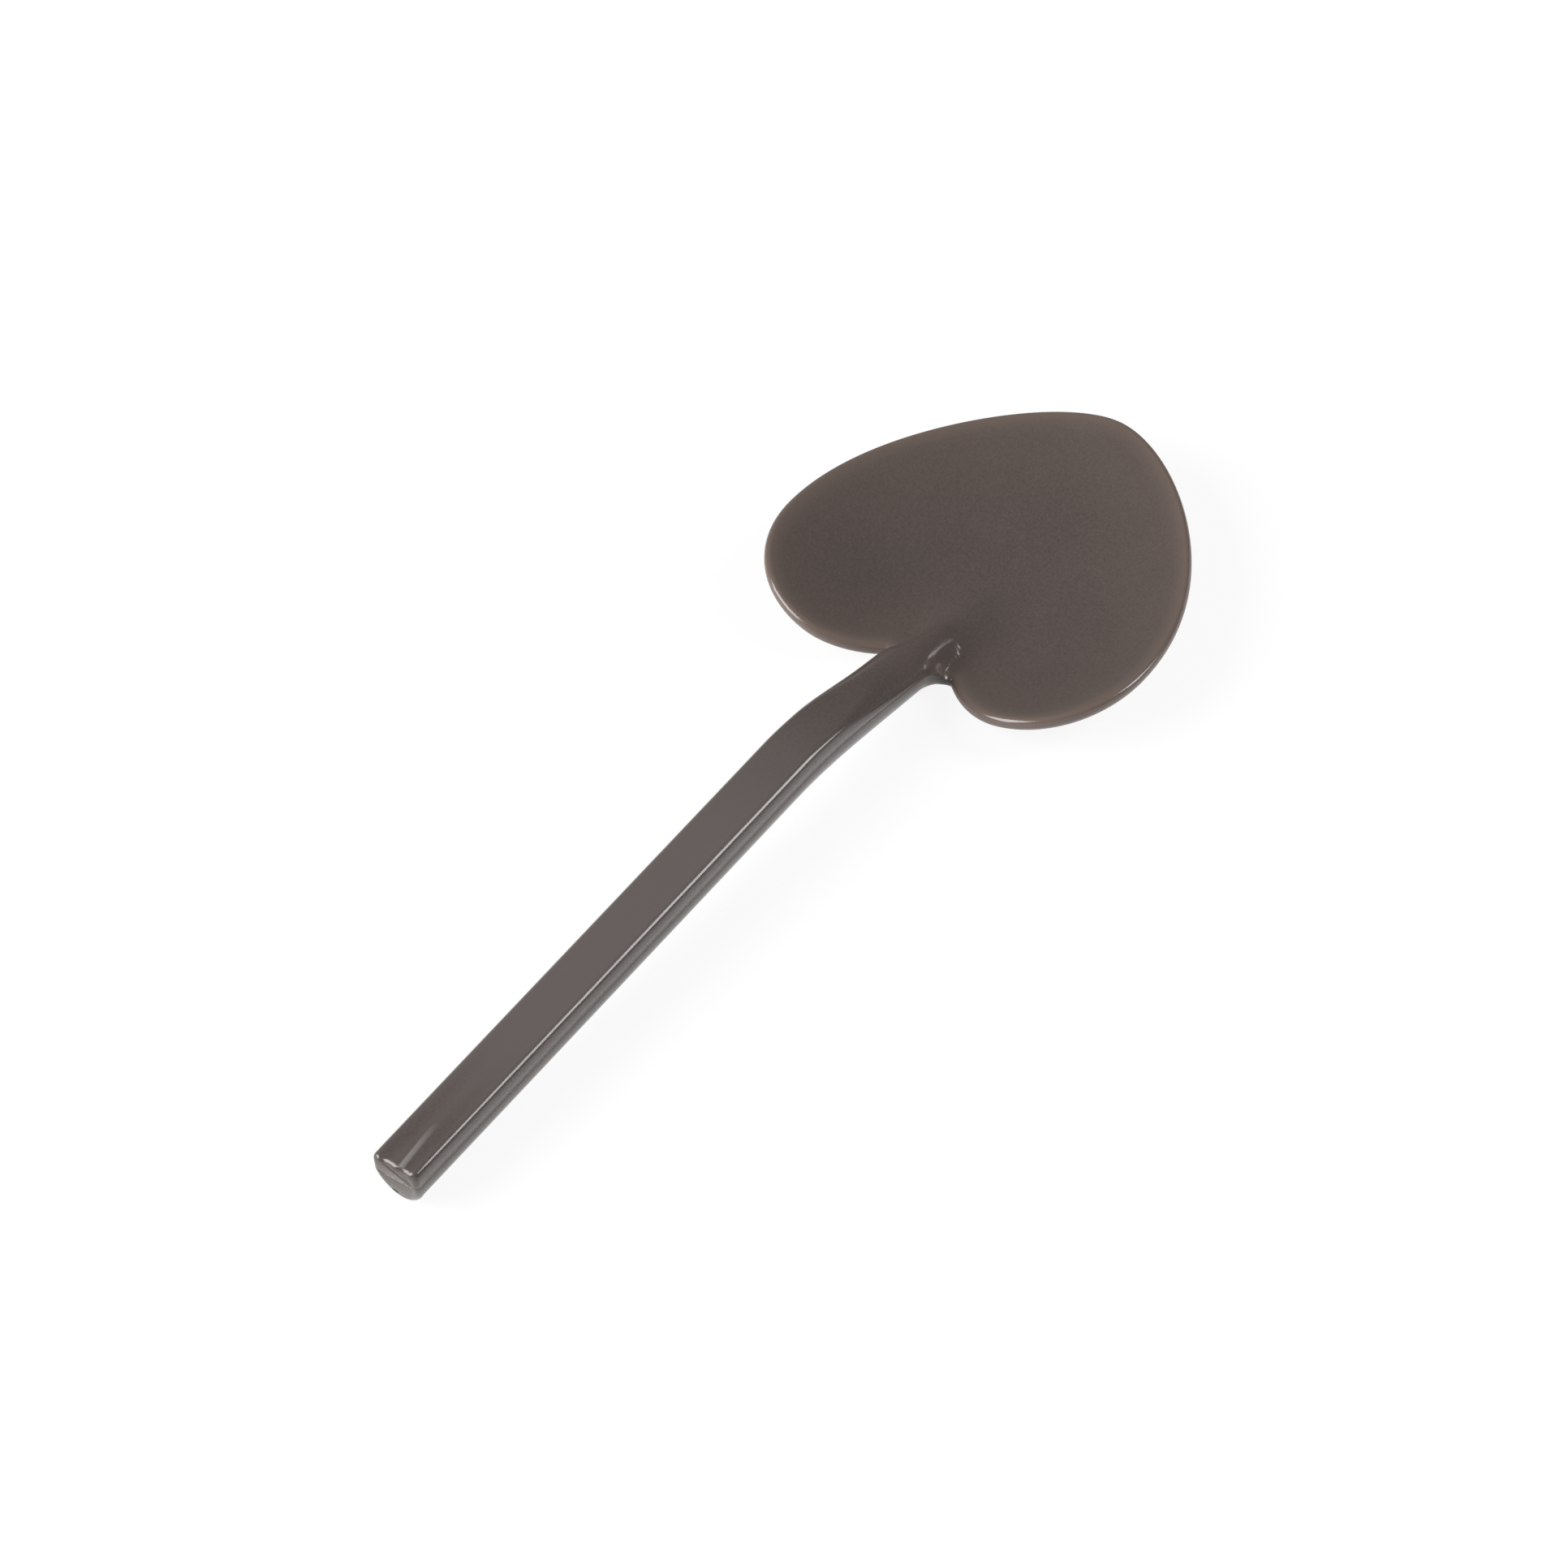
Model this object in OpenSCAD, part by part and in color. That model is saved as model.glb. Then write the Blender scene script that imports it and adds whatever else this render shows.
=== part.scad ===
// Amuse bouche spoon, moulded in one piece.
// A thin heart shaped bowl is dished both ways. A thick bar handle comes down into it through
// the notch of the heart, and fades out as a ridge inside the bowl.
// The long axis is X with the tip of the heart at +X. Z = 0 is the table that it lies on, and
// the origin is the middle of its footprint.

/* [Overall] */
// Length from the end of the handle to the tip of the heart
overall_l = 128; // [116:1:140]

/* [Bowl] */
// Length of the heart, from the back of its lobes to its tip
bowl_l = 41.05; // [38:0.2:46]
// Width across both lobes
bowl_w = 44.7; // [40:0.2:50]
// Thickness of the bowl, whose rim is fully rounded
wall_t = 1.6; // [1.2:0.1:2]
// Distance from the tip back to the widest place
shoulder_x = 28.8; // [26:0.2:31]
// Distance from the middle to the back of each lobe, sideways
lobe_y = 11.8; // [10:0.2:14]
// Depth of the notch between the lobes, from their backs to the handle's sides
notch_depth = 5.05; // [3.5:0.1:6]
// Radius of the fillet where each lobe meets the handle, on the lobe's side
notch_r = 0.85; // [0.6:0.05:1.2]

/* [Dish] */
// Radius of the dish along the spoon
dish_long_r = 60; // [55:0.5:90]
// Radius of the dish across the spoon
dish_cross_r = 45; // [40:0.5:80]
// Distance from the tip back to the deepest place of the dish
dish_low_x = 28; // [25:0.2:31]
// Depth of the flat that the underside of the bowl rests on
foot_cut = 0.12; // [0.06:0.01:0.2]

/* [Handle] */
// Width of the handle
handle_w = 5.6; // [4.8:0.1:6.4]
// Height of the handle's upper half, from the mould's parting line to the top face
upper_h = 2.2; // [1.8:0.1:2.8]
// Depth of the keel, the handle's rounded lower half
keel_h = 4.25; // [3.4:0.1:4.8]
// Roundness of the keel, where 2 is an ellipse and less is nearer to a V
keel_power = 1.85; // [1.6:0.05:2.4]
// Radius of the long edges of the top face
edge_r = 0.7; // [0.4:0.05:1]
// Rise of the handle toward the bowl, in degrees
handle_rise = 2.35; // [1.5:0.05:3.5]
// Lean of the end face above the parting line, in degrees from upright
end_lean = 8; // [4:1:16]
// Lean of the end face below the parting line, in degrees from upright
keel_lean = 17; // [8:1:22]
// Plan radius of the corners at the end of the handle
end_r = 0.65; // [0.4:0.05:1]

/* [Neck] */
// Distance from the back of the lobes to where the handle starts to bend down
bend_back = 19.5; // [14:0.5:24]
// How far the top face has fallen below its own line where it passes the back of the lobes
neck_fall = 3.85; // [3.2:0.05:4.4]
// How far the parting line has fallen there
part_fall = 3.1; // [2.6:0.05:3.6]
// Softness of the blend between the ridge and the bowl
ridge_blend = 2; // [1:0.1:3]
// Softness of the blend between the keel and the bowl's underside
keel_blend = 1.2; // [0.6:0.1:2]

/* [Hidden] */

// Steps along each part of the outline
END_STEPS = 4;
BAR_STEPS = 5;
NECK_STEPS = 16;
FILLET_STEPS = 8;
LOBE_STEPS = 6;
CHEEK_STEPS = 12;
FRONT_STEPS = 22;
// Points on each quarter of a cross-section, and how many of them round the rim
J = 14;
RIM_J = 5;
// Handles of the outline's curves, as shares of the spans that they bend over
TIP_ROUND = 0.395;
SHOULDER_ROUND = 0.525;
CHEEK_ROUND = 0.625;
LOBE_ROUND = 0.54;
LOBE_INNER = 0.21;
NOTCH_RUN = 5.6;
NOTCH_ANGLE = 42;
FILLET_ROUND = 0.42;
// The fillet runs this many times as far along the handle as it does along the lobe
FILLET_STRETCH = 2;
FILLET_SIDE_ROUND = 0.46;
// Depth that the ridge's base sinks below the dish, and where it starts and ends sinking,
// counted from the fillet's start and from the notch
BASE_SUNK = 1.3;
BASE_LEAD = 1;
BASE_REACH = 3;
// Stretch at the end of the handle with no cross-section of its own, and how far before the
// bend the closer ones start
END_RUN = 6;
BEND_LEAD = 1;
// Radii where the end face turns into the top face and into the keel
END_TOP_R = 0.45;
END_KEEL_R = 0.85;
// Power of the curve on which the neck falls
NECK_POWER = 1.5;
// The handle's top starts to dome this far past the bend, and is a full dome this far behind
// the lobes
DOME_DELAY = 5;
DOME_LEAD = 2;
// Share of the ridge's half width where its round flank goes on as a straight slope
FLANK_START = 0.85;
// Least height of the handle's upright side
LEAST_SIDE = 0.03;
// Height where the keel meets the underside of the bowl, and how fast it fades beyond
KEEL_LAND = 0.3;
KEEL_FADE = 0.012;
// The keel comes down from this far before the bend to this far past the backs of the lobes
KEEL_LEAD = 2;
KEEL_REACH = 4;
// Least height of the ridge above the parting line's own height
LEAST_TOP = 0.3;
// The bowl's faces count from this far behind the lobes
BLEND_REACH = 5;
// Half distance over which a face's slope is measured
SLOPE_STEP = 0.05;
// How far each rib of the bowl runs straight in before it turns to the middle line
FAN_BEND = 0.35;
// Where the last ribs of the notch, the lobe, the cheek and the front end on the middle line:
// three from the deepest place of the dish, and one from the tip
FAN_NOTCH = -4.3;
FAN_LOBE = -0.8;
FAN_CHEEK = 3.2;
FAN_TIP = -12;
// The last ribs stand this far from the middle line, and they crowd toward the tip
TIP_HALF = 0.3;
TIP_CROWD = 1.25;

tip_x = overall_l / 2;
tail_x = -overall_l / 2;
back_x = tip_x - bowl_l;
notch_x = back_x + notch_depth;
low_x = tip_x - dish_low_x;
bend_x = back_x - bend_back;
half_w = handle_w / 2;
rim_r = wall_t / 2;
rise = tan(handle_rise);
// The round top edges of the handle grow into a full dome over this stretch
dome_from = bend_x + DOME_DELAY;
dome_to = back_x - DOME_LEAD;

// Plain helpers
function mix(a, b, t) = a + (b - a) * t;
function clamp01(t) = min(1, max(0, t));
function ease(a, b, x) = let (t = clamp01((x - a) / (b - a))) t * t * (3 - 2 * t);
function smooth_max(a, b, k) = let (h = max(0, 1 - abs(a - b) / k)) max(a, b) + h * h * k / 4;
function smooth_min(a, b, k) = -smooth_max(-a, -b, k);
function unit(v) = v / norm(v);

// Cubic curve through p[0] and p[3], and its direction
function bez(p, t) = pow(1 - t, 3) * p[0] + 3 * t * pow(1 - t, 2) * p[1]
    + 3 * t * t * (1 - t) * p[2] + pow(t, 3) * p[3];
function bez_dir(p, t) = unit(pow(1 - t, 2) * (p[1] - p[0]) + 2 * t * (1 - t) * (p[2] - p[1])
    + t * t * (p[3] - p[2]));

// Outline of the left half of the heart, from the notch round the lobe to the tip
widest = [tip_x - shoulder_x, bowl_w / 2];
lobe_back = [back_x, lobe_y];
notch = [notch_x, half_w];
notch_out = [-cos(NOTCH_ANGLE), sin(NOTCH_ANGLE)];
lobe_curve = [
    notch,
    notch + NOTCH_RUN * notch_out,
    lobe_back - [0, LOBE_INNER * (lobe_y - half_w)],
    lobe_back,
];
cheek_curve = [
    lobe_back,
    lobe_back + [0, LOBE_ROUND * (widest[1] - lobe_y)],
    widest - [CHEEK_ROUND * (widest[0] - back_x), 0],
    widest,
];
front_curve = [
    widest,
    widest + [SHOULDER_ROUND * shoulder_x, 0],
    [tip_x, TIP_ROUND * bowl_w / 2],
    [tip_x, TIP_HALF],
];
// The fillet leaves the lobe's curve at this place and runs out on the handle's side
fillet_t = notch_r / tan(NOTCH_ANGLE / 2) / (3 * NOTCH_RUN);
fillet_lobe = bez(lobe_curve, fillet_t);
fillet_dir = bez_dir(lobe_curve, fillet_t);
fillet_corner = fillet_lobe - fillet_dir * (fillet_lobe[1] - half_w) / fillet_dir[1];
fillet_reach = norm(fillet_lobe - fillet_corner);
fillet_side = fillet_corner - [FILLET_STRETCH * fillet_reach, 0];
fillet_curve = [
    fillet_side,
    mix(fillet_side, fillet_corner, FILLET_SIDE_ROUND),
    mix(fillet_lobe, fillet_corner, FILLET_ROUND),
    fillet_lobe,
];

// Heights along the spoon. The top face and the parting line rise with the handle and then
// fall through the neck, and the keel runs out on the underside of the bowl.
function line_z(x) = keel_h - foot_cut + rise * (x - tail_x);
function fallen(x, depth) = depth * pow(max(0, (x - bend_x) / bend_back), NECK_POWER);
function part_z(x) = line_z(x) - fallen(x, part_fall);
function top_h(x) = max(LEAST_TOP, upper_h - fallen(x, neck_fall - part_fall));
function keel_z(x) = let (landed = ease(bend_x - KEEL_LEAD, back_x + KEEL_REACH, x))
    mix(line_z(x) - keel_h, KEEL_LAND, landed) + KEEL_FADE * pow(max(0, x - back_x), 2);

// Middle surface of the dished bowl, and the height of the wall above or below it
function dish_z(x, y) = rim_r - foot_cut + (x - low_x) * (x - low_x) / (2 * dish_long_r)
    + y * y / (2 * dish_cross_r);
function wall_z(x, y) = rim_r * norm([1, (x - low_x) / dish_long_r, y / dish_cross_r]);

// Round flank of the ridge and keel, 1 on the middle line and 0 at the half width
function flank(u) = u < FLANK_START ? sqrt(1 - u * u)
    : let (at = sqrt(1 - FLANK_START * FLANK_START)) at - (u - FLANK_START) * FLANK_START / at;
// Height that the ridge's flanks come down to: the parting line, then sunk below the dish
function ridge_base(x) = mix(part_z(x), dish_z(x, half_w) - BASE_SUNK,
    ease(fillet_side[0] - BASE_LEAD, notch_x + BASE_REACH, x));
function ridge_z(x, y) = let (base = ridge_base(x))
    base + max(LEAST_TOP, part_z(x) + top_h(x) - base) * flank(abs(y) / half_w);
function ridge_keel_z(x, y) = keel_z(x)
    + max(wall_t, part_z(x) - keel_z(x)) * (1 - flank(abs(y) / half_w));

// Upper face (side = 1) and lower face (side = -1) of the spoon at any place in plan
function face_z(p, side) = let (x = p[0], y = p[1], bowl = x > back_x - BLEND_REACH)
    side > 0 ? (bowl ? smooth_max(dish_z(x, y) + wall_z(x, y), ridge_z(x, y), ridge_blend)
        : ridge_z(x, y))
    : (bowl ? smooth_min(dish_z(x, y) - wall_z(x, y), ridge_keel_z(x, y), keel_blend)
        : ridge_keel_z(x, y));

// Section of the handle, from 0 at the parting line to 1 at the middle, at a share u of its
// half width
function top_profile(x, u) = let (
    dome = ease(dome_from, dome_to, x),
    wide = mix(edge_r / half_w, 1, dome),
    high = mix(edge_r, top_h(x) - LEAST_SIDE, dome) / top_h(x),
    v = max(0, (u - (1 - wide)) / wide)
) 1 - high + high * sqrt(max(0, 1 - v * v));
function keel_profile(u) = pow(max(0, 1 - pow(u, keel_power)), 1 / keel_power);

// A station is [outline point, inward direction, place on the middle line, bowl share].
// One quarter of its section runs from the parting line (j = 0) to the middle line (j = J).
// The first stretch is the round edge, as wide as the handle's half width on the handle and
// as the rim's radius on the bowl. The rest lies on the upper or lower face.
function quarter(s, j, side) = let (
    o = s[0],
    inward = s[1],
    t = s[3],
    bar_v = side > 0 ? max(0, (j - 1) / (J - 1)) : j / J,
    v = mix(bar_v, j / RIM_J, t),
    r = mix(half_w, rim_r, sqrt(t)),
    c = o + r * inward
) v <= 1 ? edge_point(s, side, j == 0 ? -1 : 90 * v, r, c)
    : let (
        u = (v - 1) / (mix(1, J / RIM_J, t) - 1),
        end = [s[2], 0],
        q = pow(1 - u, 2) * c + 2 * u * (1 - u) * (c + FAN_BEND * norm(end - c) * inward)
            + u * u * end
    ) [q[0], q[1], face_z(q, side)];

// Point of the round edge. A turn of -1 means the parting line itself.
function edge_point(s, side, turn, r, c) = let (
    t = s[3],
    z = mix(part_z(s[0][0]), dish_z(s[0][0], s[0][1]), t),
    step = SLOPE_STEP * s[1],
    slope = (face_z(c + step, side) - face_z(c - step, side)) / (2 * SLOPE_STEP),
    high = face_z(c, side) - z - slope * r,
    a = max(0, turn),
    bar = side > 0 ? top_profile(s[2], cos(a)) : keel_profile(cos(a)),
    d = r * (1 - cos(a)),
    q = s[0] + d * s[1]
) [q[0], q[1], turn < 0 ? z : z + high * mix(bar, sin(a), t) + slope * d];

// Stations along the handle and round the left half of the heart
bar_xs = concat(
    [for (i = [1:BAR_STEPS]) mix(tail_x + END_RUN, bend_x - BEND_LEAD, (i - 1) / (BAR_STEPS - 1))],
    [for (i = [1:NECK_STEPS]) mix(bend_x - BEND_LEAD, fillet_side[0], i / (NECK_STEPS + 1))]
);
bar_stations = [for (x = bar_xs) [[x, half_w], [0, -1], x, 0]];
// Stations of one curve, with their ends on the middle line spread from x = a to x = b
function fan(p, ts, a, b, shares) = [for (i = [0:len(ts) - 1]) let (d = bez_dir(p, ts[i]))
    [bez(p, ts[i]), [d[1], -d[0]], mix(a, b, (i + 1) / len(ts)), shares[i]]];
function steps(n) = [for (i = [1:n]) i / n];
bowl_stations = concat(
    fan(fillet_curve, steps(FILLET_STEPS), fillet_side[0], low_x + FAN_NOTCH,
        [for (i = steps(FILLET_STEPS)) ease(0, 1, i)]),
    fan(lobe_curve, [for (i = steps(LOBE_STEPS)) mix(fillet_t, 1, i)], low_x + FAN_NOTCH,
        low_x + FAN_LOBE, [for (i = steps(LOBE_STEPS)) 1]),
    fan(cheek_curve, steps(CHEEK_STEPS), low_x + FAN_LOBE, low_x + FAN_CHEEK,
        [for (i = steps(CHEEK_STEPS)) 1]),
    fan(front_curve, [for (i = steps(FRONT_STEPS)) 1 - pow(1 - i, TIP_CROWD)],
        low_x + FAN_CHEEK, tip_x + FAN_TIP, [for (i = steps(FRONT_STEPS)) 1])
);

// Closed ring of a station: left parting point, over the top, right parting point, underneath
function flip(p) = [p[0], -p[1], p[2]];
function ring(s) = concat(
    [for (j = [0:J]) quarter(s, j, 1)],
    [for (j = [J - 1:-1:0]) flip(quarter(s, j, 1))],
    [for (j = [1:J]) flip(quarter(s, j, -1))],
    [for (j = [J - 1:-1:1]) quarter(s, j, -1)]
);

// End of the handle: each ring is drawn in by its edge radii, and leans in below the parting
function end_point(p, z, turn) = let (
    inset = 1 - sin(turn),
    y = p[1] * (1 - inset * end_r / half_w),
    up = (p[2] - z) * (1 - inset * (p[2] > z ? END_TOP_R / upper_h : END_KEEL_R / keel_h)),
    lean = max(0, upper_h - END_TOP_R - max(0, up)) * tan(end_lean)
        + max(0, -up) * tan(keel_lean)
) [tail_x + end_r * (1 - cos(turn)) + lean, y, z + up];
end_rings = [for (i = [0:END_STEPS])
    [for (p = ring([[tail_x, half_w], [0, -1], tail_x, 0]))
        end_point(p, part_z(tail_x), 90 * i / END_STEPS)]];

rings = concat(end_rings, [for (s = bar_stations) ring(s)], [for (s = bowl_stations) ring(s)]);
RING_N = 4 * J;
function at(i, r) = i * RING_N + r % RING_N;

module spoon_solid() {
    last = len(rings) - 1;
    // Skin between neighbouring rings
    skin = [for (i = [0:last - 1], r = [0:RING_N - 1], half = [0, 1])
        half == 0 ? [at(i, r), at(i + 1, r), at(i + 1, r + 1)]
            : [at(i, r), at(i + 1, r + 1), at(i, r + 1)]];
    // Two flat faces close the end of the handle, above and below its parting line
    end_faces = [
        [for (r = [0:2 * J]) at(0, r)],
        [for (r = [2 * J:4 * J]) at(0, r)],
    ];
    // Narrow strips join the left and right rims at the tip
    tip_top = [for (j = [0:J - 1]) j == J - 1 ? [at(last, j), at(last, 2 * J - j), at(last, J)]
        : [at(last, j), at(last, 2 * J - j), at(last, 2 * J - j - 1), at(last, j + 1)]];
    tip_low = [for (j = [0:J - 1]) j == J - 1
        ? [at(last, 4 * J - j), at(last, 3 * J), at(last, 2 * J + j)]
        : [at(last, 4 * J - j), at(last, 4 * J - j - 1), at(last, 2 * J + j + 1),
            at(last, 2 * J + j)]];
    polyhedron(points = [for (g = rings, p = g) p], faces = concat(skin, end_faces, tip_top,
        tip_low), convexity = 6);
}

module spoon() {
    color("#584f4c") difference() {
        spoon_solid();
        // The flat of the bowl's underside, and the end of the keel, lie on the table
        translate([0, 0, -keel_h / 2]) cube([2 * overall_l, 2 * bowl_w, keel_h], center = true);
    }
}

spoon();
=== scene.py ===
# %% [markdown]
# # A moulded tasting spoon in Blender
# The spoon is one piece of glossy taupe plastic: a thick bar handle that bends down into the
# notch of a thin, heart shaped bowl and fades out there as a ridge. Its solid comes from the
# CAD model, which is loaded first. This lesson gives it a smooth skin, a plastic finish, and
# the light of a small product studio.

# %% Load the CAD model
import math

import bmesh
import bpy
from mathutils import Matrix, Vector
from mathutils.kdtree import KDTree


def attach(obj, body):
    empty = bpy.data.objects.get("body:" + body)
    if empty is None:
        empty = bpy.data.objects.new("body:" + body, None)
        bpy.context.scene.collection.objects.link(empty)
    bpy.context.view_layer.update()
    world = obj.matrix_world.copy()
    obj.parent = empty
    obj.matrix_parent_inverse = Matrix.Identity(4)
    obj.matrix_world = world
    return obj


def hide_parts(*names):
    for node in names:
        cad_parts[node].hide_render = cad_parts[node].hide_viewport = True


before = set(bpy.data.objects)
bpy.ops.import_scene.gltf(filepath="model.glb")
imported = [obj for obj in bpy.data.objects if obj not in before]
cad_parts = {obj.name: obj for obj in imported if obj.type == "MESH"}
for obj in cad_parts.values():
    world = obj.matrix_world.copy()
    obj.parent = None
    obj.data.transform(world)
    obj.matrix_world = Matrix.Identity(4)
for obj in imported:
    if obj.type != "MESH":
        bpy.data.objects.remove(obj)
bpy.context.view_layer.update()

# %% [markdown]
# The CAD model is drawn in millimetres and Blender works in metres. The sizes below are the
# ones that a mould maker would read off the drawing, so the skin has the same shape as the
# solid, with more rings and softer edges than a CAD file needs. The spoon lies along X with
# the tip of the heart at +X, and the table is at Z = 0.

# %% Sizes of the spoon, in millimetres
MM = 0.001
TAIL_X = -64.0            # end of the handle
TIP_X = 64.0              # tip of the heart
BOWL_LONG = 41.05
BOWL_WIDE = 44.7
WALL = 1.6
WIDEST_FROM_TIP = 28.8
LOBE_SIDE = 11.8          # from the middle line to the back of a lobe
NOTCH_DEEP = 5.05
NOTCH_ROUND = 0.85
DISH_LONG_R = 60.0
DISH_CROSS_R = 45.0
DISH_FROM_TIP = 28.0
FOOT = 0.12               # how much of its underside is cut off to make it rest flat
BAR_WIDE = 5.6
BAR_TOP = 2.2             # height of the bar above the parting line
BAR_KEEL = 4.25           # and below it
KEEL_POWER = 1.85         # 2 is an ellipse, and less is nearer to a V
EDGE_ROUND = 0.7
BAR_RISE = 2.35           # degrees by which the bar rises toward the bend
END_LEAN = 8.0            # degrees by which its end leans, above the parting line
KEEL_LEAN = 17.0          # and below it
END_ROUND = 0.65
END_TOP_ROUND = 0.6
END_KEEL_ROUND = 0.85
BEND_BACK = 19.5          # from the backs of the lobes to the bend
NECK_FALL = 3.85          # how far the top has come down at the backs of the lobes
PART_FALL = 3.1           # how far the parting line has come down there

HALF = BAR_WIDE / 2
RIM = WALL / 2
BACK_X = TIP_X - BOWL_LONG
LOW_X = TIP_X - DISH_FROM_TIP
BEND_X = BACK_X - BEND_BACK
print("bend at", BEND_X, "mm, back of the lobes at", round(BACK_X, 2), "mm")

# %% [markdown]
# A few plain helpers come first: a straight mix of two values, a soft step, and a cubic curve
# with its direction.

# %% Helpers for numbers and curves
def mix(a, b, t):
    return a + (b - a) * t


def ease(a, b, x):
    """Soft step, from 0 at a to 1 at b."""
    t = min(1.0, max(0.0, (x - a) / (b - a)))
    return t * t * (3 - 2 * t)


def bezier(p, t):
    """Place on the cubic curve with the four control points p."""
    return ((1 - t) ** 3 * p[0] + 3 * t * (1 - t) ** 2 * p[1]
            + 3 * t * t * (1 - t) * p[2] + t ** 3 * p[3])


def heading(p, t):
    """Direction of that curve."""
    return ((1 - t) ** 2 * (p[1] - p[0]) + 2 * t * (1 - t) * (p[2] - p[1])
            + t * t * (p[3] - p[2])).normalized()


print("a quarter of the way through a soft step:", ease(0, 1, 0.25))

# %% [markdown]
# Seen from above, the bowl is a heart. A designer draws such an outline with a few cubic
# curves: one from the notch to the back of the lobe, one round the cheek to the widest place,
# and one from there to the tip. How round each curve is depends on its handles, which are
# shares of the stretch that it bends over, and a plain length at the notch.

# %% Draw the outline of the left half
NOTCH_ANGLE = 42          # degrees, where the lobe leaves the notch
NOTCH_RUN = 5.6           # length of the handle there, in millimetres
LOBE_INNER = 0.21
LOBE_ROUND = 0.54
CHEEK_ROUND = 0.625
SHOULDER_ROUND = 0.525
TIP_ROUND = 0.395

widest = Vector((TIP_X - WIDEST_FROM_TIP, BOWL_WIDE / 2))
lobe_back = Vector((BACK_X, LOBE_SIDE))
notch = Vector((BACK_X + NOTCH_DEEP, HALF))
notch_out = Vector((-math.cos(math.radians(NOTCH_ANGLE)), math.sin(math.radians(NOTCH_ANGLE))))
lobe_curve = [notch, notch + NOTCH_RUN * notch_out,
              lobe_back - Vector((0, LOBE_INNER * (LOBE_SIDE - HALF))), lobe_back]
cheek_curve = [lobe_back, lobe_back + Vector((0, LOBE_ROUND * (widest.y - LOBE_SIDE))),
               widest - Vector((CHEEK_ROUND * (widest.x - BACK_X), 0)), widest]
front_curve = [widest, widest + Vector((SHOULDER_ROUND * WIDEST_FROM_TIP, 0)),
               Vector((TIP_X, TIP_ROUND * BOWL_WIDE / 2)), Vector((TIP_X, 0))]
print("the bowl is widest at x =", round(widest.x, 2), "mm")

# %% [markdown]
# A small fillet joins the lobe to the side of the handle. It starts a little way along the
# lobe's curve and runs out twice as far along the handle, which looks softer than an arc.

# %% Draw the fillet of the notch
FILLET_STRETCH = 2        # how many times as far it runs along the handle as along the lobe
FILLET_SIDE_ROUND = 0.46
FILLET_ROUND = 0.42

fillet_t = NOTCH_ROUND / math.tan(math.radians(NOTCH_ANGLE / 2)) / (3 * NOTCH_RUN)
fillet_lobe = bezier(lobe_curve, fillet_t)
fillet_dir = heading(lobe_curve, fillet_t)
fillet_corner = fillet_lobe - fillet_dir * (fillet_lobe.y - HALF) / fillet_dir.y
fillet_side = fillet_corner - Vector((FILLET_STRETCH * (fillet_lobe - fillet_corner).length, 0))
fillet_curve = [fillet_side, mix(fillet_side, fillet_corner, FILLET_SIDE_ROUND),
                mix(fillet_lobe, fillet_corner, FILLET_ROUND), fillet_lobe]
print("the notch's fillet leaves the handle at x =", round(fillet_side.x, 2), "mm")

# %% [markdown]
# Two height rules shape the spoon. The first is the handle's: a flat top, a parting line where
# the two halves of the mould met, and a round keel below. All three rise gently from the end
# and come down past the bend, the first two on a curve.

# %% Heights along the handle
NECK_POWER = 1.5          # power of the curve on which the neck falls
LEAST_TOP = 0.3           # least height of the top above the parting line
KEEL_LAND = 0.3           # height that the keel comes down to
KEEL_LEAD = 2             # it starts to come down this far before the bend
KEEL_REACH = 4            # and is down this far past the backs of the lobes
KEEL_FADE = 0.012         # how fast it curves up from there, and fades out under the bowl


def line_z(x):
    """Straight line along which the parting line rises."""
    return BAR_KEEL - FOOT + math.tan(math.radians(BAR_RISE)) * (x - TAIL_X)


def fallen(x, depth):
    """How far something that falls by depth at the lobes has fallen at x."""
    return depth * max(0.0, (x - BEND_X) / BEND_BACK) ** NECK_POWER


def part_z(x):
    """Height of the parting line."""
    return line_z(x) - fallen(x, PART_FALL)


def top_h(x):
    """Height of the top above the parting line."""
    return max(LEAST_TOP, BAR_TOP - fallen(x, NECK_FALL - PART_FALL))


def keel_z(x):
    """Height of the keel's lowest line."""
    landed = mix(line_z(x) - BAR_KEEL, KEEL_LAND, ease(BEND_X - KEEL_LEAD, BACK_X + KEEL_REACH, x))
    return landed + KEEL_FADE * max(0.0, x - BACK_X) ** 2


print("top of the bend at", round(part_z(BEND_X) + top_h(BEND_X), 2), "mm")

# %% [markdown]
# The second rule is the bowl's: a wall of even thickness on a surface that is dished both
# ways. Where the handle passes through the bowl's floor, a smooth maximum of the two heights
# makes it fade like a ridge. The blend gets wider toward the ridge's end, so that it has no
# hard edge there.

# %% Heights of the dished wall and the ridge
BASE_SUNK = 1.3           # how far below the dish the ridge's flanks aim
BASE_LEAD = 1             # they start to sink this far before the fillet
BASE_REACH = 3            # and have sunk this far past the notch
FLANK_START = 0.85        # from this share of the half width a round flank goes on straight
BLEND_REACH = 5           # the bowl's faces count from this far behind the lobes
KEEL_BLEND = 1.2          # width of the keel's blend
NEAR_BLEND = 1.3          # width of the ridge's blend, up to NEAR_X
FAR_BLEND = 3.0           # and from FAR_X on
NEAR_X = 30
FAR_X = 38


def smooth_max(a, b, k):
    """The larger value, with a blend where the two are less than k apart."""
    h = max(0.0, 1 - abs(a - b) / k)
    return max(a, b) + h * h * k / 4


def dish_z(p):
    """Middle surface of the bowl's wall."""
    return RIM - FOOT + (p.x - LOW_X) ** 2 / (2 * DISH_LONG_R) + p.y ** 2 / (2 * DISH_CROSS_R)


def wall_z(p):
    """Upright distance from the middle surface to either face."""
    return RIM * Vector((1, (p.x - LOW_X) / DISH_LONG_R, p.y / DISH_CROSS_R)).length


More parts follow.
